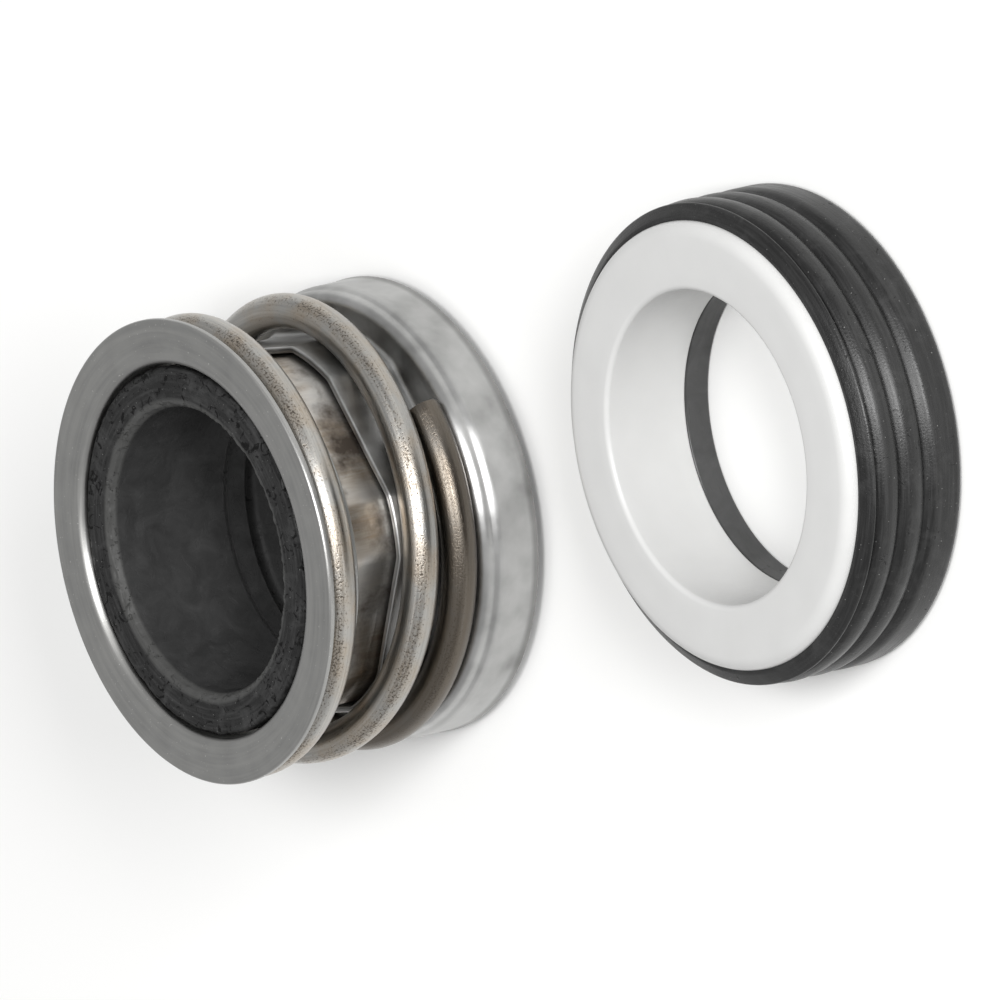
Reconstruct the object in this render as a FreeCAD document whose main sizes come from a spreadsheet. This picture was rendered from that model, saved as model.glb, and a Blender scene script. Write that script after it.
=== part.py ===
import FreeCAD, Part
import Sketcher
import math
import os

# Rotary shaft seal in two halves that stand side by side on the floor.
# The sprung head stands on its sealing nose with its tail up.
# The seat stands on the floor of its rubber cup with its lapped face up.
# Lengths are millimetres and angles are degrees. Heights are above the floor.
# Each half is made about its own axis, and its placement sets it along X.

SIZES = (
    # gap between the two halves, from rim to rim
    ("halves_gap", 18.8),
    # rubber bellows, from the shaft outwards and from the tail down
    ("shaft_bore", 12.65),
    ("tail_wall", 1.95),
    ("mouth_chamfer", 0.35),
    ("tail_recess", 0.5),
    ("bead_height", 2.8),
    ("bead_gap", 0.3),
    ("bead_round", 0.4),
    ("tail_gap", 0.1),
    ("fold_start", 0.2),
    ("fold_flare", 0.8),
    ("fold_gap", 0.3),
    ("fold_wall", 1.0),
    ("fold_rise", 0.6),
    ("fold_height", 1.3),
    ("step_width", 0.65),
    ("step_slope", 0.8),
    ("step_lap", 0.6),
    ("bellows_edge", 0.4),
    ("bellows_room", 0.3),
    ("bellows_flange", 1.6),
    # hexagonal drive: a band on the tail inside the retainer's neck
    ("band_gauge", 0.6),
    ("drive_gap", 0.3),
    ("corner_rise", 1.1),
    ("drive_turn", 25.0),
    ("band_lap", 3.2),
    # retainer shell
    ("shell_gauge", 0.6),
    ("neck_height", 7.0),
    ("neck_root", 0.5),
    ("lip_share", 0.42),
    ("shell_inset", 0.15),
    ("shoulder_set", 0.35),
    ("shoulder_height", 1.1),
    ("shoulder_slope", 0.6),
    ("shoulder_bend", 0.3),
    ("rim_height", 1.1),
    ("rim_flare", 0.15),
    ("rim_flare_height", 0.7),
    # primary ring, with the raised nose that runs on the seat
    ("ring_room", 0.95),
    ("ring_gap", 0.3),
    ("ring_body", 3.0),
    ("nose_height", 1.6),
    ("nose_set", 0.9),
    ("nose_width", 3.0),
    ("nose_edge", 0.2),
    # coil spring
    ("head_height", 23.8),
    ("wire_radius", 1.55),
    ("coil_room", 0.05),
    ("coil_gap", 0.05),
    ("coil_start", 65.0),
    ("dead_coil", 218.0),
    ("coil_ramp", 90.0),
    ("tip_gap", 0.1),
    ("end_rise", 0.5),
    ("end_ramp", 90.0),
    # spring holder, a pressed collar with a flange
    ("holder_gauge", 0.6),
    ("holder_grip", 0.15),
    ("holder_bend", 0.35),
    ("collar_depth", 5.7),
    ("flange_lap", 0.15),
    ("flange_edge", 0.25),
    # seat ring
    ("seat_room", 0.75),
    ("seat_wall", 5.7),
    ("seat_depth", 8.5),
    ("seat_mouth", 0.5),
    ("seat_edge", 1.2),
    # rubber cup of the seat
    ("cup_floor", 2.6),
    ("cup_step", 0.1),
    ("cup_fit", 0.02),
    ("cup_wall", 1.52),
    ("cup_lip_land", 0.33),
    ("face_proud", 1.1),
    ("lip_slope", 0.7),
    ("lip_drop", 0.5),
    ("rib_width_two", 2.45),
    ("rib_width_three", 2.65),
    ("rib_rise", 0.8),
    ("rib_depth", 0.7),
    ("rib_round", 0.3),
    ("cup_foot_round", 0.8),
)

DERIVED = (
    # radii of the hexagonal drive, from the bellows outwards
    ("tail_radius", "=shaft_bore + tail_wall"),
    ("band_flat_inside", "=tail_radius + tail_gap"),
    ("band_corner_inside", "=band_flat_inside + corner_rise"),
    ("band_flat", "=band_flat_inside + band_gauge"),
    ("band_corner", "=band_flat + corner_rise"),
    ("neck_flat_inside", "=band_flat + drive_gap"),
    ("neck_corner_inside", "=neck_flat_inside + corner_rise"),
    ("neck_flat", "=neck_flat_inside + shell_gauge"),
    ("neck_corner", "=neck_flat + corner_rise"),
    # radii of the spring and the pieces at its two ends
    ("coil_radius", "=neck_corner + coil_room + wire_radius"),
    ("coil_reach", "=coil_radius + wire_radius"),
    ("collar_bore", "=band_corner + holder_grip"),
    ("collar_radius", "=collar_bore + holder_gauge"),
    ("flange_radius", "=coil_reach + flange_lap"),
    ("holder_roll", "=holder_bend + holder_gauge"),
    ("shell_radius", "=coil_reach - shell_inset"),
    ("shell_inside", "=shell_radius - shell_gauge"),
    ("shoulder_radius", "=shell_radius - shoulder_set"),
    ("shoulder_inside", "=shoulder_radius - shell_gauge"),
    ("shoulder_round", "=shoulder_bend + shell_gauge"),
    ("rim_radius", "=shell_radius + rim_flare"),
    ("rim_inside", "=rim_radius - shell_gauge"),
    ("neck_root_inside", "=neck_root + shell_gauge"),
    ("neck_lip", "=shell_gauge * lip_share"),
    # radii of the primary ring
    ("ring_bore", "=shaft_bore + ring_room"),
    ("nose_inner", "=ring_bore + nose_set"),
    ("nose_outer", "=nose_inner + nose_width"),
    ("ring_radius", "=shell_inside - ring_gap"),
    # radii of the bellows
    ("mouth_radius", "=shaft_bore + mouth_chamfer"),
    ("bead_radius", "=collar_bore - bead_gap"),
    ("step_radius", "=shaft_bore + step_width"),
    ("fold_radius", "=neck_flat_inside - fold_gap"),
    ("fold_inside", "=fold_radius - fold_wall"),
    ("bellows_bore", "=ring_bore + bellows_room"),
    ("bellows_radius", "=shoulder_inside - bellows_edge"),
    # heights of the head, from its nose up
    ("ring_back", "=nose_height + ring_body"),
    ("shell_ceiling", "=ring_back + bellows_flange"),
    ("shell_back", "=shell_ceiling + shell_gauge"),
    ("shoulder_foot", "=shell_back - shoulder_height"),
    ("slope_foot", "=shoulder_foot - shoulder_slope"),
    ("rim_top", "=rim_height + rim_flare_height"),
    ("neck_top", "=shell_back + neck_height"),
    ("band_foot", "=neck_top - band_lap"),
    ("tail_foot", "=band_foot - fold_start"),
    ("fold_top", "=tail_foot - fold_flare"),
    ("fold_foot", "=shell_ceiling + fold_rise"),
    ("step_foot", "=fold_foot + fold_height"),
    ("bore_foot", "=tail_foot + step_lap"),
    ("step_top", "=bore_foot - step_slope"),
    # heights of the head, from its tail down
    ("flange_back", "=head_height - holder_gauge"),
    ("collar_foot", "=head_height - collar_depth"),
    ("tail_top", "=head_height - tail_recess"),
    ("mouth_foot", "=tail_top - mouth_chamfer"),
    ("band_top", "=tail_top - bead_height"),
    ("band_height", "=band_top - band_foot"),
    # the spring's wire, whose pitch keeps its cut end clear of the next turn
    ("coil_foot", "=shell_back + coil_gap + wire_radius"),
    ("coil_top", "=flange_back - coil_gap - wire_radius"),
    ("coil_pitch", "=360 * (2 * wire_radius + tip_gap - end_rise) / (360 - dead_coil - coil_ramp / 2)"),
    # the seat and its cup
    ("seat_bore", "=shaft_bore + seat_room"),
    ("seat_radius", "=seat_bore + seat_wall"),
    ("seat_height", "=cup_floor + seat_depth"),
    ("cup_bore", "=seat_bore + cup_step"),
    ("cup_inside", "=seat_radius + cup_fit"),
    ("cup_lip", "=cup_inside + cup_lip_land"),
    ("cup_radius", "=cup_inside + cup_wall"),
    ("cup_height", "=seat_height - face_proud"),
    ("rib_root", "=cup_radius - rib_depth"),
    ("rib_crest_one", "=cup_height - lip_slope"),
    ("rib_groove_one", "=rib_crest_one - lip_drop"),
    ("rib_groove_two", "=rib_groove_one - rib_width_two"),
    ("rib_groove_three", "=rib_groove_two - rib_width_three"),
    ("rib_crest_four", "=rib_groove_three - rib_rise"),
    ("rib_arc_two", "=(rib_width_two ^ 2 / 4 + rib_depth ^ 2) / (2 * rib_depth)"),
    ("rib_arc_three", "=(rib_width_three ^ 2 / 4 + rib_depth ^ 2) / (2 * rib_depth)"),
    # places along X, so that the box round both halves has its middle at the origin
    ("head_place", "=-(halves_gap / 2 + cup_radius)"),
    ("seat_place", "=halves_gap / 2 + flange_radius"),
)

FIND = 0.001

doc = FreeCAD.newDocument("shaft_seal")
sheet = doc.addObject("Spreadsheet::Sheet", "sizes")
for row, (alias, value) in enumerate(SIZES + DERIVED, 1):
    sheet.set(f"A{row}", alias)
    sheet.set(f"B{row}", str(value))
    sheet.setAlias(f"B{row}", alias)
doc.recompute()


def size(alias):
    """The value of one cell of the sheet."""
    return float(sheet.get(alias))


def new_body(name, place):
    """A body with its own label, standing at one of the two places along X."""
    body = doc.addObject("PartDesign::Body", name)
    body.Label = name
    body.setExpression("Placement.Base.x", f"sizes.{place}")
    return body


def new_sketch(body, name, role, height=None):
    """A sketch on one of the body's origin planes, raised to a height where one is named."""
    sketch = body.newObject("Sketcher::SketchObject", name)
    plane = next(item for item in body.Origin.OriginFeatures if item.Role == role)
    sketch.AttachmentSupport = [(plane, "")]
    sketch.MapMode = "FlatFace"
    if height:
        sketch.setExpression("AttachmentOffset.Base.z", f"sizes.{height}")
    return sketch


def bind(sketch, kind, *where):
    """Adds a dimension whose value follows a cell. The last argument is the cell's alias."""
    *places, alias = where
    number = sketch.addConstraint(Sketcher.Constraint(kind, *places, size(alias)))
    sketch.setExpression(f"Constraints[{number}]", f"sizes.{alias}")


def pin_point(sketch, line, end, radius, height):
    """Holds one end of a line at a named radius and height. A zero lies on that axis of the sketch."""
    for kind, alias, axis in (("DistanceX", radius, -2), ("DistanceY", height, -1)):
        if alias == "zero":
            sketch.addConstraint(Sketcher.Constraint("PointOnObject", line, end, axis))
        else:
            bind(sketch, kind, -1, 1, line, end, alias)


def draw_section(sketch, corners):
    """Draws a closed half section, anticlockwise, through corners of a radius and a height.
    A third alias in a corner is the radius of an outward arc from there to the next corner."""
    places = [FreeCAD.Vector(at(corner[0]), at(corner[1]), 0) for corner in corners]
    count = len(corners)
    for number, corner in enumerate(corners):
        start, end = places[number], places[(number + 1) % count]
        if len(corner) == 3:
            sketch.addGeometry(outward_arc(start, end, size(corner[2])))
        else:
            sketch.addGeometry(Part.LineSegment(start, end))
    for number, corner in enumerate(corners):
        sketch.addConstraint(Sketcher.Constraint("Coincident", (number - 1) % count, 2, number, 1))
        pin_point(sketch, number, 1, corner[0], corner[1])
        if len(corner) == 3:
            bind(sketch, "Radius", number, corner[2])


def outward_arc(start, end, radius):
    """An arc of less than half a turn that bulges away from the axis, from a low point to a high one."""
    half = start.distanceToPoint(end) / 2
    middle = (start + end) / 2
    sideways = FreeCAD.Vector(end.y - start.y, start.x - end.x, 0).normalize()
    crest = middle + sideways * (radius - math.sqrt(radius * radius - half * half))
    return Part.Arc(start, crest, end)


def at(alias):
    """A coordinate of a section, where zero is the axis or the floor."""
    return 0.0 if alias == "zero" else size(alias)


def draw_hexagon(sketch, flat, corner):
    """Draws a hexagon whose corners are cut round by a circle about its centre."""
    half = math.acos(size(flat) / size(corner))
    turn = math.radians(size("drive_turn"))
    radius = size(corner)
    for side in range(6):
        middle = turn + side * math.pi / 3
        ends = [FreeCAD.Vector(math.cos(a), math.sin(a), 0) * radius for a in (middle - half, middle + half)]
        sketch.addGeometry(Part.LineSegment(*ends))
        circle = Part.Circle(FreeCAD.Vector(), FreeCAD.Vector(0, 0, 1), radius)
        sketch.addGeometry(Part.ArcOfCircle(circle, middle + half, middle + math.pi / 3 - half))
    for side in range(6):
        line = 2 * side
        arc = line + 1
        sketch.addConstraint(Sketcher.Constraint("Coincident", arc, 3, -1, 1))
        sketch.addConstraint(Sketcher.Constraint("Coincident", line, 2, arc, 1))
        sketch.addConstraint(Sketcher.Constraint("Coincident", arc, 2, (line + 2) % 12, 1))
        bind(sketch, "Radius", arc, corner)
        bind(sketch, "Distance", -1, 1, line, flat)
        angle = size("drive_turn") + 90 + 60 * side
        number = sketch.addConstraint(Sketcher.Constraint("Angle", -1, line, math.radians(wrap(angle))))
        sketch.setExpression(f"Constraints[{number}]", f"(sizes.drive_turn + {wrap(angle) - size('drive_turn')}) * 1 deg")


def wrap(angle):
    """An angle brought between minus and plus half a turn."""
    return (angle + 180) % 360 - 180


def turn_section(body, name, corners):
    """A revolved solid from a closed half section."""
    sketch = new_sketch(body, f"{name}_section", "XZ_Plane")
    draw_section(sketch, corners)
    feature = body.newObject("PartDesign::Revolution", name)
    feature.Profile = sketch
    feature.ReferenceAxis = (sketch, ["V_Axis"])
    feature.Angle = 360
    sketch.Visibility = False
    doc.recompute()
    return feature


def ring_edges(feature, radius, height):
    """The circular edges of a feature about its axis, of a named radius and height."""
    found = []
    for number, edge in enumerate(feature.Shape.Edges, 1):
        if not isinstance(edge.Curve, Part.Circle):
            continue
        same_radius = abs(edge.Curve.Radius - at(radius)) < FIND
        same_height = abs(edge.Curve.Center.z - at(height)) < FIND
        if same_radius and same_height:
            found.append(f"Edge{number}")
    return found


def level_edges(feature, height, inner, outer):
    """The edges of a feature that lie at a named height between two named radii."""
    found = []
    for number, edge in enumerate(feature.Shape.Edges, 1):
        points = edge.discretize(5)
        level = all(abs(point.z - size(height)) < FIND for point in points)
        reach = [math.hypot(point.x, point.y) for point in points]
        if level and min(reach) > size(inner) - FIND and max(reach) < size(outer) + FIND:
            found.append(f"Edge{number}")
    return found


def dress(body, kind, name, base, edges, alias):
    """A fillet or chamfer of a named size on some edges of the feature before it."""
    if not edges:
        raise ValueError(f"{body.Label}: {name} finds no edge")
    feature = body.newObject(f"PartDesign::{kind}", name)
    feature.Base = (base, edges)
    size_name = "Radius" if kind == "Fillet" else "Size"
    feature.setExpression(size_name, f"sizes.{alias}")
    doc.recompute()
    return feature


def make_spring_holder():
    """Pressed collar with a flange, rolled over where the collar turns out."""
    body = new_body("spring_holder", "head_place")
    ring = turn_section(body, "holder_ring", (
        ("collar_bore", "collar_foot"),
        ("collar_radius", "collar_foot"),
        ("collar_radius", "flange_back"),
        ("flange_radius", "flange_back"),
        ("flange_radius", "head_height"),
        ("collar_bore", "head_height"),
    ))
    roll = dress(body, "Fillet", "holder_roll_edge", ring,
                 ring_edges(ring, "collar_bore", "head_height"), "holder_roll")
    bend = dress(body, "Fillet", "holder_bend", roll,
                 ring_edges(roll, "collar_radius", "flange_back"), "holder_bend")
    dress(body, "Fillet", "holder_rim", bend,
          ring_edges(bend, "flange_radius", "head_height"), "flange_edge")
    return body


def make_retainer_shell():
    """Drawn shell: a cup round the primary ring, and a hexagonal neck that drives it."""
    body = new_body("retainer_shell", "head_place")
    cup = turn_section(body, "shell_cup", (
        ("zero", "shell_ceiling"),
        ("shoulder_inside", "shell_ceiling"),
        ("shoulder_inside", "shoulder_foot"),
        ("shell_inside", "slope_foot"),
        ("shell_inside", "rim_top"),
        ("rim_inside", "rim_height"),
        ("rim_radius", "rim_height"),
        ("shell_radius", "rim_top"),
        ("shell_radius", "slope_foot"),
        ("shoulder_radius", "shoulder_foot"),
        ("shoulder_radius", "shell_back"),
        ("zero", "shell_back"),
    ))
    outline = new_sketch(body, "neck_outline", "XY_Plane", "shell_back")
    draw_hexagon(outline, "neck_flat", "neck_corner")
    neck = body.newObject("PartDesign::Pad", "neck")
    neck.Profile = outline
    neck.setExpression("Length", "sizes.neck_height")
    doc.recompute()
    root = dress(body, "Fillet", "neck_root_bend", neck,
                 level_edges(neck, "shell_back", "neck_flat", "neck_corner"), "neck_root")
    shoulder = dress(body, "Fillet", "shoulder", root,
                     ring_edges(root, "shoulder_radius", "shell_back"), "shoulder_round")
    corner = dress(body, "Fillet", "shoulder_bend", shoulder,
                   ring_edges(shoulder, "shoulder_inside", "shell_ceiling"), "shoulder_bend")
    opening = new_sketch(body, "drive_opening", "XY_Plane", "neck_top")
    draw_hexagon(opening, "neck_flat_inside", "neck_corner_inside")
    hole = body.newObject("PartDesign::Pocket", "drive_hole")
    hole.Profile = opening
    hole.Type = "ThroughAll"
    doc.recompute()
    if hole.Shape.Volume >= corner.Shape.Volume:
        raise ValueError("the drive opening cuts nothing")
    mouth = dress(body, "Fillet", "neck_foot_bend", hole,
                  level_edges(hole, "shell_ceiling", "neck_flat_inside", "neck_corner_inside"),
                  "neck_root_inside")
    dress(body, "Fillet", "neck_edge", mouth,
          level_edges(mouth, "neck_top", "neck_flat_inside", "neck_corner"), "neck_lip")
    return body


def make_drive_band():
    """Hexagonal band on the bellows' tail, which slides in the retainer's neck."""
    body = new_body("drive_band", "head_place")
    outline = new_sketch(body, "band_outline", "XY_Plane", "band_foot")
    draw_hexagon(outline, "band_flat", "band_corner")
    bar = body.newObject("PartDesign::Pad", "band_bar")
    bar.Profile = outline
    bar.setExpression("Length", "sizes.band_height")
    doc.recompute()
    opening = new_sketch(body, "band_opening", "XY_Plane", "band_top")
    draw_hexagon(opening, "band_flat_inside", "band_corner_inside")
    hole = body.newObject("PartDesign::Pocket", "band_hole")
    hole.Profile = opening
    hole.Type = "ThroughAll"
    doc.recompute()
    if hole.Shape.Volume >= bar.Shape.Volume:
        raise ValueError("the band's opening cuts nothing")
    return body


def make_bellows():
    """Rubber bellows: a bead and a tail that grip the shaft, one fold, and a flange on the ring."""
    body = new_body("bellows", "head_place")
    tube = turn_section(body, "bellows_tube", (
        ("shaft_bore", "mouth_foot"),
        ("mouth_radius", "tail_top"),
        ("bead_radius", "tail_top"),
        ("bead_radius", "band_top"),
        ("tail_radius", "band_top"),
        ("tail_radius", "tail_foot"),
        ("fold_radius", "fold_top"),
        ("fold_radius", "shell_ceiling"),
        ("bellows_radius", "shell_ceiling"),
        ("bellows_radius", "ring_back"),
        ("bellows_bore", "ring_back"),
        ("bellows_bore", "shell_ceiling"),
        ("fold_inside", "fold_foot"),
        ("fold_inside", "step_foot"),
        ("step_radius", "step_foot"),
        ("step_radius", "step_top"),
        ("shaft_bore", "bore_foot"),
    ))
    dress(body, "Fillet", "bead_edge", tube,
          ring_edges(tube, "bead_radius", "tail_top"), "bead_round")
    return body


def make_primary_ring():
    """Carbon ring with a raised nose, whose flat face runs on the seat."""
    body = new_body("primary_ring", "head_place")
    ring = turn_section(body, "ring_blank", (
        ("ring_bore", "nose_height"),
        ("nose_inner", "nose_height"),
        ("nose_inner", "zero"),
        ("nose_outer", "zero"),
        ("nose_outer", "nose_height"),
        ("ring_radius", "nose_height"),
        ("ring_radius", "ring_back"),
        ("ring_bore", "ring_back"),
    ))
    edges = ring_edges(ring, "nose_inner", "zero") + ring_edges(ring, "nose_outer", "zero")
    dress(body, "Chamfer", "nose_edges", ring, edges, "nose_edge")
    return body


def coil_height(angle, leave, arrive):
    """Height of the wire's centre: eased off its seat, almost level, ramping into a steady pitch, and level again."""
    slope = size("coil_pitch") / 360
    ramp = size("coil_ramp")
    eased = 0.5 - 0.5 * math.cos(math.pi * min(angle / size("end_ramp"), 1))
    into = min(max(angle - leave, 0), ramp)
    steady = min(max(angle - leave - ramp, 0), arrive - leave - 2 * ramp)
    out_of = min(max(angle - arrive + ramp, 0), ramp)
    rise = into * into / (2 * ramp) + steady + out_of - out_of * out_of / (2 * ramp)
    return size("coil_foot") + size("end_rise") * eased + slope * rise


def make_spring():
    """Left-hand compression spring of round wire, whose end coils close on their neighbours."""
    ramp = size("coil_ramp")
    lift = size("coil_top") - size("coil_foot") - size("end_rise")
    leave = size("dead_coil")
    arrive = leave + ramp + 360 * lift / size("coil_pitch")
    whole = arrive + size("dead_coil")
    steps = round(whole / 15)
    points = []
    for step in range(steps + 1):
        angle = whole * step / steps
        way = math.radians(90 - size("coil_start") - angle)
        reach = size("coil_radius")
        height = coil_height(angle, leave, arrive)
        points.append(FreeCAD.Vector(reach * math.cos(way), reach * math.sin(way), height))
    centre_line = Part.BSplineCurve()
    centre_line.interpolate(points)
    start, along = points[0], centre_line.tangent(centre_line.FirstParameter)[0]
    section = Part.Wire(Part.makeCircle(size("wire_radius"), start, along))
    spring = doc.addObject("Part::Feature", "spring")
    spring.Label = "spring"
    spring.Shape = Part.Wire(centre_line.toShape()).makePipeShell([section], True, True)
    spring.setExpression("Placement.Base.x", "sizes.head_place")
    return spring


def make_mating_ring():
    """Ceramic seat ring with a lapped face and a rounded rim."""
    body = new_body("mating_ring", "seat_place")
    ring = turn_section(body, "seat_blank", (
        ("seat_bore", "cup_floor"),
        ("seat_radius", "cup_floor"),
        ("seat_radius", "seat_height"),
        ("seat_bore", "seat_height"),
    ))
    rim = dress(body, "Fillet", "seat_rim", ring,
                ring_edges(ring, "seat_radius", "seat_height"), "seat_edge")
    dress(body, "Chamfer", "seat_mouth", rim,
          ring_edges(rim, "seat_bore", "seat_height"), "seat_mouth")
    return body


def make_seat_cup():
    """Rubber cup that holds the seat ring in its housing, with rounded sealing ribs."""
    body = new_body("seat_cup", "seat_place")
    cup = turn_section(body, "cup_blank", (
        ("cup_bore", "zero"),
        ("cup_radius", "zero"),
        ("cup_radius", "rib_crest_four"),
        ("rib_root", "rib_groove_three", "rib_arc_three"),
        ("rib_root", "rib_groove_two", "rib_arc_two"),
        ("rib_root", "rib_groove_one"),
        ("cup_radius", "rib_crest_one"),
        ("cup_lip", "cup_height"),
        ("cup_inside", "cup_height"),
        ("cup_inside", "cup_floor"),
        ("cup_bore", "cup_floor"),
    ))
    foot = dress(body, "Fillet", "cup_foot", cup,
                 ring_edges(cup, "cup_radius", "zero"), "cup_foot_round")
    crests = ring_edges(foot, "cup_radius", "rib_crest_one") + ring_edges(foot, "cup_radius", "rib_crest_four")
    dress(body, "Fillet", "rib_crests", foot, crests, "rib_round")
    return body


pieces = [
    make_spring_holder(),
    make_drive_band(),
    make_bellows(),
    make_retainer_shell(),
    make_primary_ring(),
    make_spring(),
    make_mating_ring(),
    make_seat_cup(),
]
doc.recompute()

for item in doc.Objects:
    if "Invalid" in item.State or "Error" in item.State:
        raise ValueError(f"{item.Label} failed: {item.State}")
for piece in pieces:
    if piece.Shape.isNull() or not piece.Shape.isValid() or len(piece.Shape.Solids) != 1:
        raise ValueError(f"{piece.Label} is not one valid solid")

os.makedirs("parts", exist_ok=True)
for piece in pieces:
    piece.Shape.exportStep(f"parts/{piece.Label}.step")
    box = piece.Shape.BoundBox
    print(f"{piece.Label}: {piece.Shape.Volume:.1f} mm3, z {box.ZMin:.2f} to {box.ZMax:.2f}")
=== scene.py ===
import math
import bmesh
import bpy
from mathutils import Matrix, Vector, noise


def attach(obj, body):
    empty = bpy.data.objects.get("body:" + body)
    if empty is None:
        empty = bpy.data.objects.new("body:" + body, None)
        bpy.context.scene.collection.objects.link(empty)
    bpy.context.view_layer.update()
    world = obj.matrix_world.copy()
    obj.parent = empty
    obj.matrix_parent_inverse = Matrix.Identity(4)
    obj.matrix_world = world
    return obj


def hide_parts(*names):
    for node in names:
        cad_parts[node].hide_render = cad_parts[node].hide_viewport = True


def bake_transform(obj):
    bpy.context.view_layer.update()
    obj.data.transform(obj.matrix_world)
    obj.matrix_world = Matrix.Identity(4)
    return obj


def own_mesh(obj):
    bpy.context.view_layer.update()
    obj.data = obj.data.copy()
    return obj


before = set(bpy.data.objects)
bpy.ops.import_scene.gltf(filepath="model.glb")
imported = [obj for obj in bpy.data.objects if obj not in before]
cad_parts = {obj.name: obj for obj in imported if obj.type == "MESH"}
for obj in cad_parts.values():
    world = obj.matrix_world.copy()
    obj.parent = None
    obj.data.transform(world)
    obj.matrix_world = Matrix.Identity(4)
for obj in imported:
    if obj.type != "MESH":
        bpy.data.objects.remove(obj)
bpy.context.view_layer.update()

# A rotary shaft seal in two halves, which stand side by side on the floor.
# Sizes are millimetres in the part's own frame, and one factor turns them to metres.
MM = 0.001
HEAD = -30.04
SEAT = 30.0

# Rubber bellows
SHAFT_BORE = 12.65
MOUTH_RADIUS = 13.0
MOUTH_DEPTH = 0.75
LIP_WIDTH = 0.45
LIP_DROP = 0.15
TAIL_RADIUS = 14.6
BEAD_RADIUS = 16.25
TAIL_TOP = 23.3
BEAD_FOOT = 20.5
TAIL_FOOT = 10.4
FOLD_TOP = 9.6
FOLD_RADIUS = 15.3
FOLD_INSIDE = 14.3
FOLD_FOOT = 6.8
BELLOWS_RADIUS = 18.95
BELLOWS_BORE = 13.9
RING_BACK = 4.6
STEP_RADIUS = 13.3
STEP_FOOT = 8.1
STEP_TOP = 10.2
BORE_FOOT = 11.0

# Spring holder
COLLAR_BORE = 16.55
COLLAR_RADIUS = 17.15
COLLAR_FOOT = 18.1
FLANGE_BACK = 23.2
FLANGE_RADIUS = 20.6
HEAD_HEIGHT = 23.8

# Hexagonal drive: a band on the bellows inside the shell's neck, whose flats lie lower than their corners
CORNER_RISE = 1.1
DRIVE_TURN = 25
BAND_INSIDE = 15.8
BAND_CORNER = 16.4
BAND_FOOT = 10.6
NECK_INSIDE = 16.7
NECK_CORNER = 17.3
NECK_TOP = 13.8
NECK_ROOT = 0.5

# Retainer shell
SHEET = 0.6
SHELL_BACK = 6.8
SHELL_CEILING = 6.2
SHELL_RADIUS = 20.3
SHOULDER_RADIUS = 19.95
SHOULDER_FOOT = 5.7
SLOPE_FOOT = 5.1
RIM_RADIUS = 20.45
RIM_HEIGHT = 1.1
RIM_TOP = 1.8

# Primary ring
RING_BORE = 13.6
NOSE_INNER = 14.5
NOSE_OUTER = 17.5
NOSE_HEIGHT = 1.6
RING_RADIUS = 19.4

# Coil spring, whose angles are degrees along the wire
WIRE_RADIUS = 1.55
WIRE_SIDES = 28
WIRE_STEP = 3
COIL_RADIUS = 18.9
COIL_FOOT = 8.4
COIL_TOP = 21.6
END_RISE = 0.5
END_RAMP = 90
TIP_GAP = 0.1
TIP_EDGE = 0.18
COIL_START = 65
DEAD_COIL = 218
COIL_RAMP = 90
COIL_PITCH = 360 * (2 * WIRE_RADIUS + TIP_GAP - END_RISE) / (360 - DEAD_COIL - COIL_RAMP / 2)

# Ceramic seat ring
SEAT_BORE = 13.4
SEAT_RADIUS = 19.1
SEAT_HEIGHT = 11.1
CUP_FLOOR = 2.6

# Rubber cup of the seat
CUP_BORE = 13.5
CUP_INSIDE = 19.12
CUP_LIP = 19.45
CUP_RADIUS = 20.64
CUP_HEIGHT = 10.0
RIB_ROOT = 19.94
RIB_CREST_ONE = 9.3
RIB_GROOVE_ONE = 8.8
RIB_GROOVE_TWO = 6.35
RIB_GROOVE_THREE = 3.7
RIB_CREST_FOUR = 2.9


# Materials


def linear(hex_colour):
    """An sRGB hex colour as the linear values that a shader takes."""
    parts = [int(hex_colour[i:i + 2], 16) / 255 for i in (0, 2, 4)]
    return [c / 12.92 if c <= 0.04045 else ((c + 0.055) / 1.055) ** 2.4 for c in parts] + [1.0]


def add(tree, kind, inputs=None, **settings):
    """Adds a node with its settings and links. An input is a value, a node, or one output of a node."""
    node = tree.nodes.new(kind)
    for name, value in settings.items():
        setattr(node, name, value)
    feed(node, inputs or {})
    return node


def feed(node, inputs):
    """Sets or links a node's inputs, by name, or by number where names repeat.

    Map Range takes its value as 0, its old range as 1 and 2 and its new range as 3 and 4. Mix takes its share
    as 0 and its two colours as 6 and 7.
    """
    for key, value in inputs.items():
        if isinstance(value, bpy.types.Node):
            value = next(output for output in value.outputs if output.enabled)
        if isinstance(value, bpy.types.NodeSocket):
            node.id_data.links.new(value, node.inputs[key])
        else:
            node.inputs[key].default_value = value


def new_material(name, colour, roughness, metallic=0.0):
    """A material whose shader has even values until patterns are linked to it."""
    material = bpy.data.materials.new(name)
    material.use_nodes = True
    tree = material.node_tree
    shader = next(node for node in tree.nodes if node.type == "BSDF_PRINCIPLED")
    feed(shader, {"Base Color": linear(colour), "Roughness": roughness, "Metallic": metallic})
    return material, tree, shader


def place_in_mm(tree, centre):
    """The object's own coordinates in millimetres, centred on one half's axis."""
    where = add(tree, "ShaderNodeTexCoord").outputs["Object"]
    return add(tree, "ShaderNodeMapping", {"Vector": where, "Scale": (1000, 1000, 1000), "Location": (-centre, 0, 0)})


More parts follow.
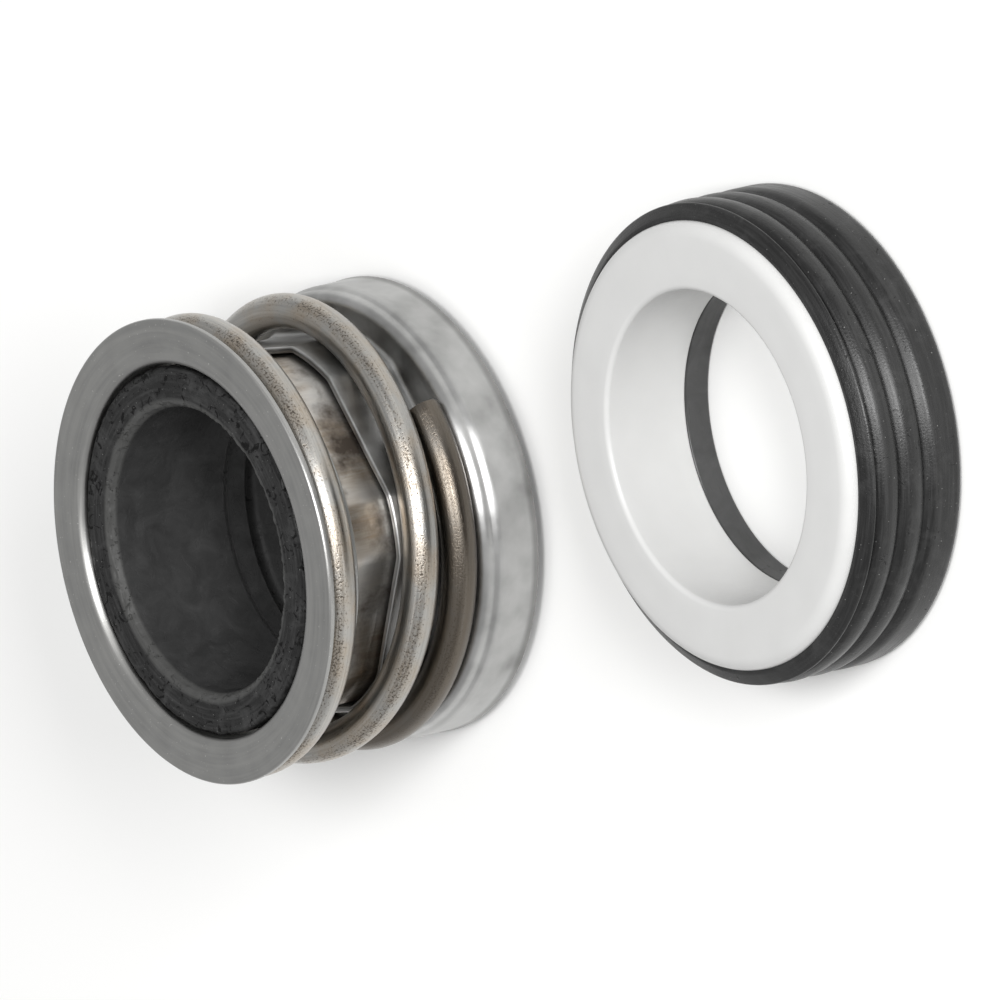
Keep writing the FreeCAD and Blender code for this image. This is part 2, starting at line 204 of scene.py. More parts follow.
def round_the_axis(tree, place, round_scale, along_scale):
    """Coordinates that run round the axis and along it, for marks that follow a drawn or turned wall."""
    parts = add(tree, "ShaderNodeSeparateXYZ", {0: place})
    turn = add(tree, "ShaderNodeMath", {0: parts.outputs["Y"], 1: parts.outputs["X"]}, operation="ARCTAN2")
    flat = add(tree, "ShaderNodeVectorMath", {0: place, 1: (1, 1, 0)}, operation="MULTIPLY")
    radius = add(tree, "ShaderNodeVectorMath", {0: flat}, operation="LENGTH").outputs["Value"]
    together = add(tree, "ShaderNodeCombineXYZ", {0: turn, 1: radius, 2: parts.outputs["Z"]})
    return add(tree, "ShaderNodeMapping", {"Vector": together, "Scale": (round_scale, along_scale, along_scale)})


def stretch_highlights(tree, shader, place, amount):
    """Sheet that was polished as it turned: fine lines round the axis draw each highlight out across them."""
    around = add(tree, "ShaderNodeVectorMath", {0: (0, 0, 1), 1: place}, operation="CROSS_PRODUCT")
    feed(shader, {
        "Anisotropic": amount,
        "Anisotropic Rotation": 0.25,
        "Tangent": add(tree, "ShaderNodeVectorMath", {0: around}, operation="NORMALIZE"),
    })


def pressed_stainless():
    """Stainless sheet, pressed and tumbled: a satin grey skin, cloudy, with fine rubs and a few bright specks."""
    material, tree, shader = new_material("pressed_stainless_sheet", "9a9a98", 0.36, 1.0)
    place = place_in_mm(tree, HEAD)
    # patches about 2 mm wide
    clouds = add(tree, "ShaderNodeTexNoise", {"Vector": place, "Scale": 0.45, "Detail": 4})
    # rubs about 8 mm long and 0.3 mm wide
    rubs = add(tree, "ShaderNodeTexNoise", {"Vector": round_the_axis(tree, place, 2.0, 3.0), "Scale": 1, "Detail": 4,
                                            "Roughness": 0.6})
    # specks about 0.1 mm wide
    grit = add(tree, "ShaderNodeTexNoise", {"Vector": place, "Scale": 4.5, "Detail": 1})
    specks = add(tree, "ShaderNodeMapRange", {0: grit, 1: 0.735, 2: 0.76})
    skin = add(tree, "ShaderNodeMix", {0: clouds, 6: linear("8b8b8a"), 7: linear("a6a6a4")}, data_type="RGBA")
    rub_marks_and_painted_highlight = add(tree, "ShaderNodeMapRange", {0: rubs, 1: 0.35, 2: 0.75, 4: 0.5})
    skin = add(tree, "ShaderNodeMix", {0: rub_marks_and_painted_highlight, 6: skin, 7: linear("b5b4b1")}, data_type="RGBA")
    skin = add(tree, "ShaderNodeMix", {0: specks, 6: skin, 7: linear("cfcecb")}, data_type="RGBA")
    feed(shader, {
        "Base Color": skin,
        "Roughness": add(tree, "ShaderNodeMapRange", {0: rubs, 1: 0.3, 2: 0.7, 3: 0.30, 4: 0.44}),
        "Normal": add(tree, "ShaderNodeBump", {"Height": rubs, "Distance": 0.008 * MM}),
    })
    return material


def drawn_stainless():
    """Deep-drawn stainless sheet: bright satin, with soft grey clouds from the die and a darker band at the rim."""
    material, tree, shader = new_material("drawn_stainless_shell", "bdbdbb", 0.34, 1.0)
    place = place_in_mm(tree, HEAD)
    # streaks about 3 mm wide along the axis
    streaks = add(tree, "ShaderNodeTexNoise", {"Vector": round_the_axis(tree, place, 6.0, 0.35), "Scale": 1,
                                               "Detail": 3})
    # clouds about 8 mm wide
    clouds = add(tree, "ShaderNodeTexNoise", {"Vector": place, "Scale": 0.12, "Detail": 4})
    height = add(tree, "ShaderNodeSeparateXYZ", {0: place}).outputs["Z"]
    # the sheet is darker in a band at the rim
    darker_rim_band = add(tree, "ShaderNodeMapRange", {0: height, 1: RIM_TOP + 0.1, 2: RIM_TOP - 0.3, 4: 0.45})
    cloudy = add(tree, "ShaderNodeMapRange", {0: clouds, 1: 0.35, 2: 0.65})
    skin = add(tree, "ShaderNodeMix", {0: cloudy, 6: linear("8a8a89"), 7: linear("c0c0bf")}, data_type="RGBA")
    drawn = add(tree, "ShaderNodeMapRange", {0: streaks, 1: 0.4, 2: 0.7, 4: 0.5})
    skin = add(tree, "ShaderNodeMix", {0: drawn, 6: skin, 7: linear("c6c6c5")}, data_type="RGBA")
    skin = add(tree, "ShaderNodeMix", {0: darker_rim_band, 6: skin, 7: linear("5f5e5c")}, data_type="RGBA")
    feed(shader, {
        "Base Color": skin,
        "Roughness": add(tree, "ShaderNodeMapRange", {0: streaks, 1: 0.3, 2: 0.7, 3: 0.30, 4: 0.42}),
        "Normal": add(tree, "ShaderNodeBump", {"Height": streaks, "Distance": 0.012 * MM}),
    })
    stretch_highlights(tree, shader, place, 0.6)
    return material


def tinted_strip():
    """Stainless strip with a brown tint from heating in patches and bright rub spots."""
    material, tree, shader = new_material("heat_tinted_strip", "9d968d", 0.34, 1.0)
    place = place_in_mm(tree, HEAD)
    # patches of tint about 6 mm wide, darker ones of 4 mm among them, and fine rolling lines along the axis
    wide = add(tree, "ShaderNodeTexNoise", {"Vector": place, "Scale": 0.16, "Detail": 3})
    small = add(tree, "ShaderNodeTexNoise", {"Vector": place, "Scale": 0.26, "Detail": 4, "Roughness": 0.6})
    lines = add(tree, "ShaderNodeTexNoise", {"Vector": round_the_axis(tree, place, 50, 0.4), "Scale": 1, "Detail": 3})
    tint = add(tree, "ShaderNodeMapRange", {0: wide, 1: 0.42, 2: 0.6})
    dark = add(tree, "ShaderNodeMapRange", {0: small, 1: 0.5, 2: 0.7})
    rolled = add(tree, "ShaderNodeMapRange", {0: lines, 1: 0.4, 2: 0.7, 4: 0.5})
    skin = add(tree, "ShaderNodeMix", {0: tint, 6: linear("b8b6b3"), 7: linear("a39789")}, data_type="RGBA")
    skin = add(tree, "ShaderNodeMix", {0: rolled, 6: skin, 7: linear("c6c3bd")}, data_type="RGBA")
    skin = add(tree, "ShaderNodeMix", {0: dark, 6: skin, 7: linear("5a524b")}, data_type="RGBA")
    feed(shader, {
        "Base Color": skin,
        "Roughness": add(tree, "ShaderNodeMapRange", {0: dark, 3: 0.34, 4: 0.5}),
        "Normal": add(tree, "ShaderNodeBump", {"Height": lines, "Distance": 0.006 * MM}),
    })
    return material


def spring_wire():
    """Hard-drawn wire: grey with a straw tint from heating, fine die lines along it and one seam of dark pits, and
    painted shade on the closed coil at the shell.
    """
    material, tree, shader = new_material("hard_drawn_spring_wire", "948b80", 0.36, 1.0)
    place = place_in_mm(tree, HEAD)
    wire = add(tree, "ShaderNodeAttribute", attribute_name="wire_place").outputs["Vector"]
    # die lines about 8 mm long and 0.2 mm wide
    along = add(tree, "ShaderNodeMapping", {"Vector": wire, "Scale": (0.12, 4.5, 1)})
    lines = add(tree, "ShaderNodeTexNoise", {"Vector": along, "Scale": 1, "Detail": 3, "Roughness": 0.6})
    # tint in patches about 4 mm wide, browner on the closed coil at the shell
    clouds = add(tree, "ShaderNodeTexNoise", {"Vector": place, "Scale": 0.25, "Detail": 4, "Roughness": 0.6})
    parts = add(tree, "ShaderNodeSeparateXYZ", {0: wire})
    first_coil = add(tree, "ShaderNodeMapRange", {0: parts.outputs["X"], 1: 80, 2: 40, 4: 0.15})
    warm = add(tree, "ShaderNodeMath", {0: clouds, 1: first_coil}, operation="ADD")
    tint = add(tree, "ShaderNodeMapRange", {0: warm, 1: 0.42, 2: 0.62})
    # pits about 0.1 mm wide, crowded along a seam on the outer side and rare elsewhere
    off_seam = add(tree, "ShaderNodeMath", {0: parts.outputs["Y"], 1: 0.9}, operation="SUBTRACT")
    off_seam = add(tree, "ShaderNodeMath", {0: off_seam}, operation="ABSOLUTE")
    seam = add(tree, "ShaderNodeMapRange", {0: off_seam, 1: 1.0, 2: 0.15, 4: 0.13})
    grain = add(tree, "ShaderNodeTexNoise", {"Vector": wire, "Scale": 5, "Detail": 3, "Roughness": 0.6})
    crowded = add(tree, "ShaderNodeMath", {0: grain, 1: seam}, operation="ADD")
    patchy = add(tree, "ShaderNodeMapRange", {0: clouds, 1: 0.4, 2: 0.6, 3: -0.05, 4: 0.02})
    crowded = add(tree, "ShaderNodeMath", {0: crowded, 1: patchy}, operation="ADD")
    pits = add(tree, "ShaderNodeMapRange", {0: crowded, 1: 0.6, 2: 0.76})
    skin = add(tree, "ShaderNodeMix", {0: tint, 6: linear("a09f9c"), 7: linear("a1978a")}, data_type="RGBA")
    drawn = add(tree, "ShaderNodeMapRange", {0: lines, 1: 0.4, 2: 0.75, 4: 0.6})
    skin = add(tree, "ShaderNodeMix", {0: drawn, 6: skin, 7: linear("c6c2bb")}, data_type="RGBA")
    # the closed coil at the shell is darker brown: partly heat tint, partly painted shade where the next coil shades
    # it
    heat_tint_and_painted_shade = add(tree, "ShaderNodeMapRange", {0: parts.outputs["X"], 1: 75, 2: 40, 4: 0.8})
    skin = add(tree, "ShaderNodeMix", {0: heat_tint_and_painted_shade, 6: skin, 7: linear("4e4841")}, data_type="RGBA")
    skin = add(tree, "ShaderNodeMix", {0: pits, 6: skin, 7: linear("5a534b")}, data_type="RGBA")
    relief = add(tree, "ShaderNodeMath", {0: lines, 1: 0.3}, operation="MULTIPLY")
    relief = add(tree, "ShaderNodeMath", {0: relief, 1: pits}, operation="SUBTRACT")
    feed(shader, {
        "Base Color": skin,
        "Roughness": add(tree, "ShaderNodeMapRange", {0: lines, 1: 0.3, 2: 0.8, 3: 0.27, 4: 0.42}),
        "Normal": add(tree, "ShaderNodeBump", {"Height": relief, "Distance": 0.008 * MM}),
    })
    return material


def moulded_nitrile(name, centre, base, scuff, gloss, satin, nicked):
    """Moulded nitrile rubber: matt black with grey scuffs, dark nicks, pale specks and streaks round the axis.

    A lower nicked value gives more nicks.
    """
    material, tree, shader = new_material(name, base, 0.6)
    place = place_in_mm(tree, centre)
    # scuffs about 3 mm wide
    smears = add(tree, "ShaderNodeTexNoise", {"Vector": place, "Scale": 0.35, "Detail": 6, "Roughness": 0.65,
                                              "Distortion": 0.8})
    scuffs = add(tree, "ShaderNodeMapRange", {0: smears, 1: 0.5, 2: 0.8})
    # streaks 0.3 mm wide round the axis, where the rubber left the mould
    streaks = add(tree, "ShaderNodeTexNoise", {"Vector": round_the_axis(tree, place, 3.0, 3.0), "Scale": 1,
                                               "Detail": 4, "Roughness": 0.65})
    streaky = add(tree, "ShaderNodeMapRange", {0: streaks, 1: 0.45, 2: 0.75, 4: 0.7})
    # nicks about 0.6 mm wide, pale specks of 0.1 mm, and a mould grain of 0.15 mm, coarser than real so that it shows
    torn = add(tree, "ShaderNodeTexNoise", {"Vector": place, "Scale": 0.9, "Detail": 5, "Roughness": 0.6,
                                            "Distortion": 1.5})
    nicks = add(tree, "ShaderNodeMapRange", {0: torn, 1: nicked, 2: nicked + 0.04})
    dust = add(tree, "ShaderNodeTexNoise", {"Vector": place, "Scale": 5, "Detail": 1})
    specks = add(tree, "ShaderNodeMapRange", {0: dust, 1: 0.76, 2: 0.785})
    grain = add(tree, "ShaderNodeTexNoise", {"Vector": place, "Scale": 6, "Detail": 3})
    # the mouth of the bore is painted pale as a highlight, the walls inside are painted a lighter grey as painted
    # light, and the walls inside are smooth
    flat = add(tree, "ShaderNodeVectorMath", {0: place, 1: (1, 1, 0)}, operation="MULTIPLY")
    radius = add(tree, "ShaderNodeVectorMath", {0: flat}, operation="LENGTH").outputs["Value"]
    near = add(tree, "ShaderNodeMapRange", {0: radius, 1: MOUTH_RADIUS + 0.6, 2: MOUTH_RADIUS + 0.3})
    height = add(tree, "ShaderNodeSeparateXYZ", {0: place}).outputs["Z"]
    top = add(tree, "ShaderNodeMapRange", {0: height, 1: TAIL_TOP - 1.0, 2: TAIL_TOP - 0.6})
    below = add(tree, "ShaderNodeMapRange", {0: height, 1: TAIL_TOP - 0.6, 2: TAIL_TOP - 1.0})
    inside = add(tree, "ShaderNodeMapRange", {0: radius, 1: FOLD_INSIDE + 0.2, 2: FOLD_INSIDE - 0.1})
    inside = add(tree, "ShaderNodeMath", {0: inside, 1: below}, operation="MULTIPLY")
    # painted highlight: a ring round the mouth of the bore
    rub_marks_and_painted_highlight = add(tree, "ShaderNodeMath", {0: near, 1: top}, operation="MULTIPLY")
    rub_marks_and_painted_highlight = add(tree, "ShaderNodeMath", {0: rub_marks_and_painted_highlight, 1: 0.7}, operation="MULTIPLY")
    skin = add(tree, "ShaderNodeMix", {0: scuffs, 6: linear(base), 7: linear(scuff)}, data_type="RGBA")
    skin = add(tree, "ShaderNodeMix", {0: streaky, 6: skin, 7: linear(scuff)}, data_type="RGBA")
    skin = add(tree, "ShaderNodeMix", {0: nicks, 6: skin, 7: linear("030303")}, data_type="RGBA")
    skin = add(tree, "ShaderNodeMix", {0: specks, 6: skin, 7: linear("6f6f6d")}, data_type="RGBA")
    # painted light: the walls inside the bore are painted a lighter grey in smears, standing in for the light that
    # reaches into it
    bore = add(tree, "ShaderNodeMix", {0: smears, 6: linear("161616"), 7: linear("484848")}, data_type="RGBA")
    skin = add(tree, "ShaderNodeMix", {0: inside, 6: skin, 7: bore}, data_type="RGBA")
    # painted highlight: a pale ring round the mouth of the bore
    skin = add(tree, "ShaderNodeMix", {0: rub_marks_and_painted_highlight, 6: skin, 7: linear("4c4c4b")}, data_type="RGBA")
    relief = add(tree, "ShaderNodeMath", {0: grain, 1: streaks}, operation="ADD")
    deep = add(tree, "ShaderNodeMath", {0: nicks, 1: 3}, operation="MULTIPLY")
    relief = add(tree, "ShaderNodeMath", {0: relief, 1: deep}, operation="SUBTRACT")
    depth = add(tree, "ShaderNodeMapRange", {0: inside, 3: 0.02 * MM, 4: 0.004 * MM})
    polish = add(tree, "ShaderNodeMapRange", {0: streaks, 1: 0.3, 2: 0.7, 3: satin, 4: satin + 0.22})
    dull = add(tree, "ShaderNodeMath", {0: nicks, 1: 0.3}, operation="MULTIPLY")
    feed(shader, {
        "Base Color": skin,
        "Specular IOR Level": gloss,
        "Roughness": add(tree, "ShaderNodeMath", {0: polish, 1: dull}, operation="ADD"),
        "Normal": add(tree, "ShaderNodeBump", {"Height": relief, "Distance": depth}),
    })
    return material


def ground_alumina():
    """Ground alumina: dense white ceramic with a soft sheen and the faintest cloud."""
    material, tree, shader = new_material("ground_alumina", "d6d6d4", 0.35)
    place = place_in_mm(tree, SEAT)
    # clouds about 3 mm wide, and a ground grain of 0.15 to 0.4 mm, much coarser than real so that it shows
    clouds = add(tree, "ShaderNodeTexNoise", {"Vector": place, "Scale": 0.3, "Detail": 3})
    grit = add(tree, "ShaderNodeTexNoise", {"Vector": place, "Scale": 2.5, "Detail": 3})
    fine = add(tree, "ShaderNodeTexNoise", {"Vector": place, "Scale": 6, "Detail": 2})
    feed(shader, {
        "Base Color": add(tree, "ShaderNodeMix", {0: clouds, 6: linear("bcbcbb"), 7: linear("c3c3c2")},
                          data_type="RGBA"),
        "Roughness": add(tree, "ShaderNodeMapRange", {0: grit, 1: 0.3, 2: 0.7, 3: 0.3, 4: 0.44}),
        "Normal": add(tree, "ShaderNodeBump", {"Height": fine, "Distance": 0.002 * MM}),
    })
    return material


def turned_carbon():
    """Resin-filled carbon graphite: dull dark grey with fine turning rings."""
    material, tree, shader = new_material("turned_carbon", "2b2b2c", 0.42)
    place = place_in_mm(tree, HEAD)
    # turning rings about 0.2 mm wide
    rings = add(tree, "ShaderNodeTexNoise", {"Vector": round_the_axis(tree, place, 0.3, 5.0), "Scale": 1, "Detail": 2})
    feed(shader, {
        "Base Color": add(tree, "ShaderNodeMix", {0: rings, 6: linear("222223"), 7: linear("38383a")},
                          data_type="RGBA"),
        "Roughness": add(tree, "ShaderNodeMapRange", {0: rings, 1: 0.3, 2: 0.7, 3: 0.36, 4: 0.5}),
        "Normal": add(tree, "ShaderNodeBump", {"Height": rings, "Distance": 0.006 * MM}),
    })
    return material


# Shapes


def draw_section(corners, grain):
    """A mesh with a closed half section, cut to a grain. A corner is a radius, a height and its rounding."""
    mesh = bmesh.new()
    points = [mesh.verts.new((radius * MM, 0, height * MM)) for radius, height, _ in corners]
    mesh.faces.new(points)
    for size in sorted({corner[2] for corner in corners if corner[2]}):
        chosen = [point for point, corner in zip(points, corners) if corner[2] == size]
        bmesh.ops.bevel(mesh, geom=chosen, offset=size * MM, offset_type="OFFSET", segments=6, profile=0.5,
                        affect="VERTICES", material=-1)
    bmesh.ops.delete(mesh, geom=mesh.faces[:], context="FACES_ONLY")
    for edge in [edge for edge in mesh.edges if edge.calc_length() > grain * MM]:
        bmesh.ops.subdivide_edges(mesh, edges=[edge], cuts=int(edge.calc_length() / grain / MM))
    return mesh


def turn(corners, steps=240, grain=1.2):
    """A turned solid from a half section."""
    mesh = draw_section(corners, grain)
    bmesh.ops.spin(mesh, geom=mesh.verts[:] + mesh.edges[:], cent=(0, 0, 0), axis=(0, 0, 1),
                   angle=math.tau, steps=steps, use_merge=True)
    bmesh.ops.recalc_face_normals(mesh, faces=mesh.faces[:])
    return mesh


def press_hexagon(mesh, lowest, widest):
    """Presses six flats into a turned tube, above a height and inside a radius."""
    for point in mesh.verts:
        radius = point.co.xy.length / MM
        if point.co.z / MM > lowest and radius < widest:
            off_flat = (math.degrees(math.atan2(point.co.y, point.co.x)) - DRIVE_TURN + 30) % 60 - 30
            pressed = min((radius - CORNER_RISE) / math.cos(math.radians(off_flat)), radius)
            point.co.xy *= pressed / radius


def finish_piece(name, mesh, centre, material, node, crease=40):
    """Sets a mesh in its place along X as a smooth object that stands for a CAD node."""
    bmesh.ops.translate(mesh, verts=mesh.verts[:], vec=(centre * MM, 0, 0))
    for face in mesh.faces:
        face.smooth = True
    for edge in mesh.edges:
        edge.smooth = not (edge.is_manifold and edge.calc_face_angle() > math.radians(crease))
    data = bpy.data.meshes.new(name)
    mesh.to_mesh(data)
    mesh.free()
    data.materials.append(material)
    piece = bpy.data.objects.new(name, data)
    bpy.context.scene.collection.objects.link(piece)
    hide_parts(node)
    return piece


def fray(mesh, radius, height, reach, depth, grain):
    """Roughs up a moulded edge: points near a radius and a height move by noise, as trimmed flash does."""
    for point in mesh.verts:
        away = math.hypot(point.co.xy.length / MM - radius, point.co.z / MM - height)
        if away < reach:
            fade = 1 - away / reach
            push = noise.noise(point.co / MM / grain) + 0.5 * noise.noise(point.co / MM / grain * 2.7)
            point.co += point.co.xy.to_3d().normalized() * (push * depth * fade * MM)
            point.co.z -= max(push, 0) * depth * fade * MM


def make_bellows(material):
    """Rubber bellows: a bead and a tail, one fold, and a flange on the ring."""
    mesh = turn((
        (SHAFT_BORE, TAIL_TOP - MOUTH_DEPTH, 0.15),
        (MOUTH_RADIUS, TAIL_TOP - LIP_DROP, 0.2),
        (MOUTH_RADIUS + LIP_WIDTH, TAIL_TOP, 0.12),
        (BEAD_RADIUS, TAIL_TOP, 0.4),
        (BEAD_RADIUS, BEAD_FOOT, 0.2),
        (TAIL_RADIUS, BEAD_FOOT, 0.15),
        (TAIL_RADIUS, TAIL_FOOT, 0.3),
        (FOLD_RADIUS, FOLD_TOP, 0.3),
        (FOLD_RADIUS, SHELL_CEILING, 0.3),
        (BELLOWS_RADIUS, SHELL_CEILING, 0.2),
        (BELLOWS_RADIUS, RING_BACK, 0.2),
        (BELLOWS_BORE, RING_BACK, 0.2),
        (BELLOWS_BORE, SHELL_CEILING, 0.3),
        (FOLD_INSIDE, FOLD_FOOT, 0.25),
        (FOLD_INSIDE, STEP_FOOT, 0.3),
        (STEP_RADIUS, STEP_FOOT, 0.2),
        (STEP_RADIUS, STEP_TOP, 0.2),
        (SHAFT_BORE, BORE_FOOT, 0.2),
    ), steps=300, grain=0.5)
    fray(mesh, MOUTH_RADIUS, TAIL_TOP - 0.1, reach=0.5, depth=0.22, grain=0.5)
    fray(mesh, BEAD_RADIUS - 0.2, TAIL_TOP, reach=1.0, depth=0.28, grain=1.1)
    piece = finish_piece("rubber_bellows", mesh, HEAD, material, "bellows")
    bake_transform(piece)
    return piece


def make_spring_holder(material):
    """Pressed collar with a flange, rolled over where the collar turns out."""
    mesh = turn((
        (COLLAR_BORE, COLLAR_FOOT, 0.12),
        (COLLAR_RADIUS, COLLAR_FOOT, 0.12),
        (COLLAR_RADIUS, FLANGE_BACK, 0.35),
        (FLANGE_RADIUS, FLANGE_BACK, 0.12),
        (FLANGE_RADIUS, HEAD_HEIGHT, 0.25),
        (COLLAR_BORE, HEAD_HEIGHT, 0.95),
    ))
    piece = finish_piece("pressed_holder", mesh, HEAD, material, "spring_holder")
    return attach(piece, "tail")


def make_drive_band(material):
    """Hexagonal band on the bellows' tail, which slides in the shell's neck."""
    mesh = turn((
        (BAND_INSIDE, BAND_FOOT, 0.12),
        (BAND_CORNER, BAND_FOOT, 0.2),
        (BAND_CORNER, BEAD_FOOT, 0.2),
        (BAND_INSIDE, BEAD_FOOT, 0.12),
    ))
    press_hexagon(mesh, 0, FLANGE_RADIUS)
    piece = finish_piece("hexagonal_band", mesh, HEAD, material, "drive_band")
    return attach(piece, "tail")


def make_retainer_shell(material):
    """Drawn shell: a cup round the primary ring, and a hexagonal neck that drives it."""
    mesh = turn((
        (NECK_INSIDE, NECK_TOP, 0.22),
        (NECK_INSIDE, SHELL_CEILING, NECK_ROOT + SHEET),
        (SHOULDER_RADIUS - SHEET, SHELL_CEILING, 0.3),
        (SHOULDER_RADIUS - SHEET, SHOULDER_FOOT, 0.1),
        (SHELL_RADIUS - SHEET, SLOPE_FOOT, 0.2),
        (SHELL_RADIUS - SHEET, RIM_TOP, 0.2),
        (RIM_RADIUS - SHEET, RIM_HEIGHT, 0.12),
        (RIM_RADIUS, RIM_HEIGHT, 0.2),
        (SHELL_RADIUS, RIM_TOP, 0.2),
        (SHELL_RADIUS, SLOPE_FOOT, 0.3),
        (SHOULDER_RADIUS, SHOULDER_FOOT, 0.15),
        (SHOULDER_RADIUS, SHELL_BACK, 0.9),
        (NECK_CORNER, SHELL_BACK, NECK_ROOT),
        (NECK_CORNER, NECK_TOP, 0.22),
    ), steps=300)
    press_hexagon(mesh, SHELL_CEILING - 0.01, NECK_CORNER + NECK_ROOT + 0.1)
    piece = finish_piece("drawn_shell", mesh, HEAD, material, "retainer_shell")
    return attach(piece, "root")


def make_primary_ring(material):
    """Carbon ring with a raised nose, whose flat face runs on the seat."""
    mesh = turn((
        (RING_BORE, NOSE_HEIGHT, 0.1),
        (NOSE_INNER, NOSE_HEIGHT, 0.1),
        (NOSE_INNER, 0, 0.2),
        (NOSE_OUTER, 0, 0.2),
        (NOSE_OUTER, NOSE_HEIGHT, 0.1),
        (RING_RADIUS, NOSE_HEIGHT, 0.15),
        (RING_RADIUS, RING_BACK, 0.15),
        (RING_BORE, RING_BACK, 0.15),
    ))
    piece = finish_piece("carbon_ring", mesh, HEAD, material, "primary_ring")
    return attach(piece, "root")


def wire_height(angle, leave, arrive):
    """Height of the wire's centre: eased off its seat, almost level, ramping into a steady pitch, level again."""
    eased = 0.5 - 0.5 * math.cos(math.pi * min(angle / END_RAMP, 1))
    into = min(max(angle - leave, 0), COIL_RAMP)
    steady = min(max(angle - leave - COIL_RAMP, 0), arrive - leave - 2 * COIL_RAMP)
    out_of = min(max(angle - arrive + COIL_RAMP, 0), COIL_RAMP)
    rise = into ** 2 / (2 * COIL_RAMP) + steady + out_of - out_of ** 2 / (2 * COIL_RAMP)
    return COIL_FOOT + END_RISE * eased + COIL_PITCH / 360 * rise


def make_spring(material):
    """Left-hand spring: one round section stepped round the axis, rising as the pitch asks."""
    arrive = DEAD_COIL + COIL_RAMP + 360 * (COIL_TOP - COIL_FOOT - END_RISE) / COIL_PITCH
    whole = arrive + DEAD_COIL
    steps = round(whole / WIRE_STEP)
    step = whole / steps
    mesh = bmesh.new()
    place = mesh.verts.layers.float_vector.new("wire_place")
    start = math.radians(90 - COIL_START)
    upright = Matrix.Rotation(start, 4, "Z") @ Matrix.Translation((COIL_RADIUS * MM, 0, COIL_FOOT * MM))
    upright = upright @ Matrix.Rotation(math.pi / 2, 4, "X")
    ring = bmesh.ops.create_circle(mesh, segments=WIRE_SIDES, radius=WIRE_RADIUS * MM, matrix=upright)["verts"]
    first = ring[:]
    front = ring + mesh.edges[:]
    for number in range(steps + 1):
        angle = number * step
        height = wire_height(angle, DEAD_COIL, arrive)
        for point in (item for item in front if isinstance(item, bmesh.types.BMVert)):
            outward = point.co.xy.length / MM - COIL_RADIUS
            around = math.atan2(point.co.z / MM - height, outward)
            point[place] = (math.radians(angle) * COIL_RADIUS, around * WIRE_RADIUS, 0)
        if number < steps:
            rise = wire_height(angle + step, DEAD_COIL, arrive) - height
            front = bmesh.ops.spin(mesh, geom=front, cent=(0, 0, 0), axis=(0, 0, 1), angle=-math.radians(step),
                                   steps=1, dvec=(0, 0, rise * MM))["geom_last"]
    last = [item for item in front if isinstance(item, bmesh.types.BMVert)]
    for end in (first, last):
        cap = bmesh.ops.contextual_create(mesh, geom=end)["faces"]
        bmesh.ops.bevel(mesh, geom=[edge for face in cap for edge in face.edges], offset=TIP_EDGE * MM,
                        segments=2, profile=0.5, affect="EDGES", material=-1)
    bmesh.ops.recalc_face_normals(mesh, faces=mesh.faces[:])
    piece = finish_piece("coil_spring", mesh, HEAD, material, "spring")
    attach(piece, "root")
    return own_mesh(piece)


def make_seat_ring(material):
    """Ceramic seat ring with a lapped face and a rounded rim."""
    mesh = turn((
        (SEAT_BORE, CUP_FLOOR, 0.3),
        (SEAT_RADIUS, CUP_FLOOR, 0.3),
        (SEAT_RADIUS, SEAT_HEIGHT, 1.2),
        (SEAT_BORE, SEAT_HEIGHT, 0.45),
    ))
    piece = finish_piece("ceramic_ring", mesh, SEAT, material, "mating_ring",
                         crease=60)
    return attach(piece, "root")


def rib(low, high, steps=8):
    """Corners of one rounded rib, from its lower groove to just below its upper one."""
    half = (high - low) / 2
    depth = CUP_RADIUS - RIB_ROOT
    bend = (half ** 2 + depth ** 2) / (2 * depth)
    corners = []
    for number in range(steps):
        height = low + (high - low) * number / steps
        reach = math.sqrt(bend ** 2 - (height - (low + high) / 2) ** 2)
        corners.append((CUP_RADIUS - bend + reach, height, 0))
    return corners


def make_seat_cup(material):
    """Rubber cup that holds the seat ring, with rounded sealing ribs and sharp grooves between them."""
    mesh = turn((
        (CUP_BORE, 0, 0.3),
        (CUP_RADIUS, 0, 0.8),
        (CUP_RADIUS, RIB_CREST_FOUR, 0.35),
        *rib(RIB_GROOVE_THREE, RIB_GROOVE_TWO),
        *rib(RIB_GROOVE_TWO, RIB_GROOVE_ONE),
        (RIB_ROOT, RIB_GROOVE_ONE, 0),
        (CUP_RADIUS, RIB_CREST_ONE, 0.3),
        (CUP_LIP, CUP_HEIGHT, 0.12),
        (CUP_INSIDE, CUP_HEIGHT, 0),
        (CUP_INSIDE, CUP_FLOOR, 0),
        (CUP_BORE, CUP_FLOOR, 0.2),
    ))
    piece = finish_piece("rubber_cup", mesh, SEAT, material, "seat_cup")
    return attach(piece, "root")


# View and light


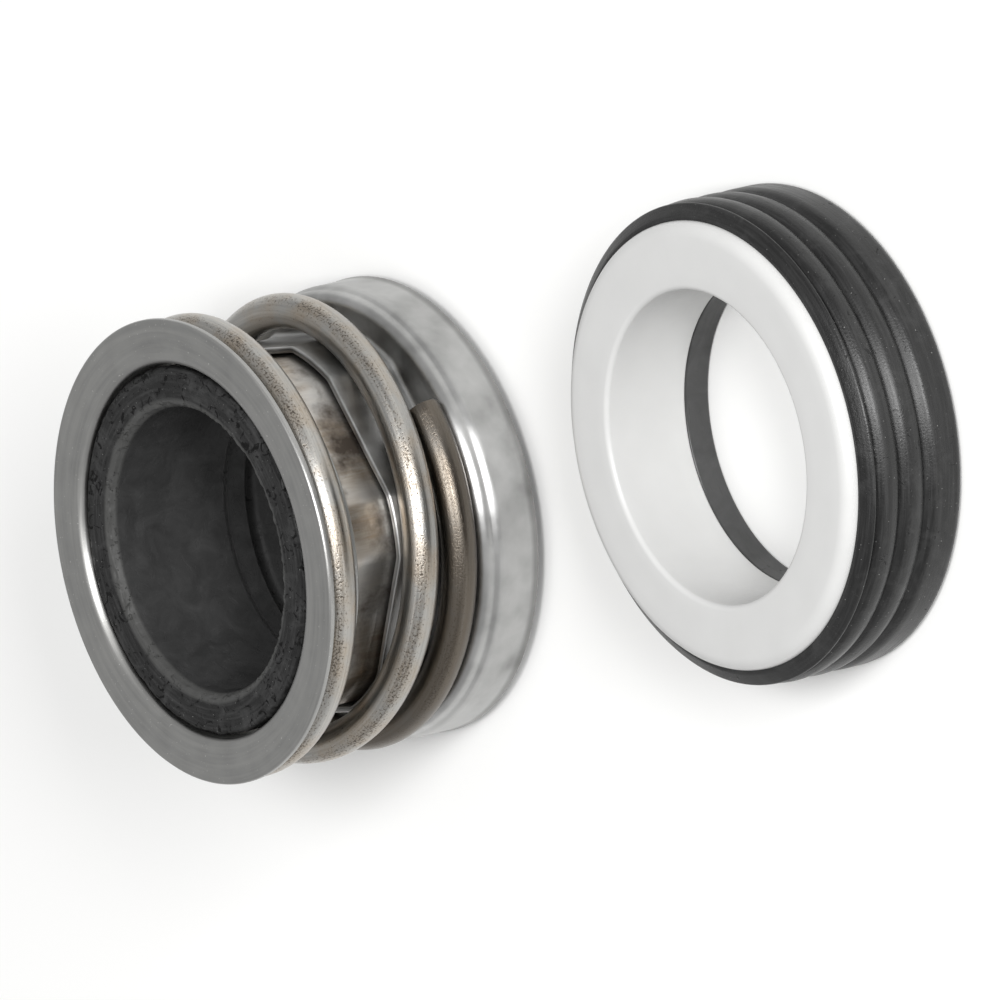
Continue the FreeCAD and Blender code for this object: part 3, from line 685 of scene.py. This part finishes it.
def make_camera():
    """A long lens at the photograph's viewing angle, rolled so that both halves lean as they do there."""
    turned, risen, rolled = math.radians(91.2), math.radians(35.1), math.radians(-103.0)
    back = Vector((math.sin(turned) * math.cos(risen), -math.cos(turned) * math.cos(risen), math.sin(risen)))
    level = Vector((math.cos(turned), math.sin(turned), 0))
    upright = back.cross(level)
    right = math.cos(rolled) * level + math.sin(rolled) * upright
    up = -math.sin(rolled) * level + math.cos(rolled) * upright
    middle, distance, leftward, downward = Vector((-1.25, 0, 10)), 1026.67, 0.257, 1.11
    place = middle + distance * back - leftward * right - downward * up
    data = bpy.data.cameras.new("camera")
    data.sensor_width = 36
    data.lens = 432
    data.clip_start = 0.05
    data.clip_end = 20
    camera = bpy.data.objects.new("camera", data)
    camera.matrix_world = Matrix((
        (right.x, up.x, back.x, place.x * MM),
        (right.y, up.y, back.y, place.y * MM),
        (right.z, up.z, back.z, place.z * MM),
        (0, 0, 0, 1),
    ))
    bpy.context.scene.collection.objects.link(camera)
    bpy.context.scene.camera = camera


def make_light(name, towards, distance, wide, tall, power):
    """A soft rectangular light that faces the object from a direction."""
    direction = Vector(towards).normalized()
    data = bpy.data.lights.new(name, "AREA")
    data.shape = "RECTANGLE"
    data.size = wide
    data.size_y = tall
    data.energy = power
    light = bpy.data.objects.new(name, data)
    light.location = direction * distance + Vector((0, 0, 12 * MM))
    light.rotation_mode = "QUATERNION"
    light.rotation_quaternion = direction.to_track_quat("Z", "Y")
    bpy.context.scene.collection.objects.link(light)


def make_floor():
    """Plain white table top."""
    mesh = bmesh.new()
    bmesh.ops.create_grid(mesh, x_segments=1, y_segments=1, size=3)
    data = bpy.data.meshes.new("floor")
    mesh.to_mesh(data)
    mesh.free()
    material, _, _ = new_material("white_table", "f4f4f3", 0.6)
    data.materials.append(material)
    floor = bpy.data.objects.new("floor", data)
    bpy.context.scene.collection.objects.link(floor)


def make_surroundings():
    """An even white room."""
    world = bpy.data.worlds.new("studio")
    world.use_nodes = True
    feed(world.node_tree.nodes["Background"], {"Color": linear("ffffff"), "Strength": 0.58})
    bpy.context.scene.world = world


make_bellows(moulded_nitrile("moulded_nitrile_bellows", HEAD, "161616", "3e3e3e", 0.2, 0.36, 0.58))
make_spring_holder(pressed_stainless())
make_drive_band(tinted_strip())
make_retainer_shell(drawn_stainless())
make_primary_ring(turned_carbon())
make_spring(spring_wire())
make_seat_ring(ground_alumina())
make_seat_cup(moulded_nitrile("moulded_nitrile_cup", SEAT, "080808", "2b2b2b", 0.5, 0.26, 0.66))

make_floor()
make_surroundings()
make_light("key", (0.56, 0.10, 0.80), distance=0.9, wide=0.28, tall=0.28, power=4.3)
make_light("front_card", (0.90, 0.10, 0.42), distance=0.9, wide=0.36, tall=0.2, power=5.6)
make_camera()
bpy.context.scene.view_settings.view_transform = "Standard"
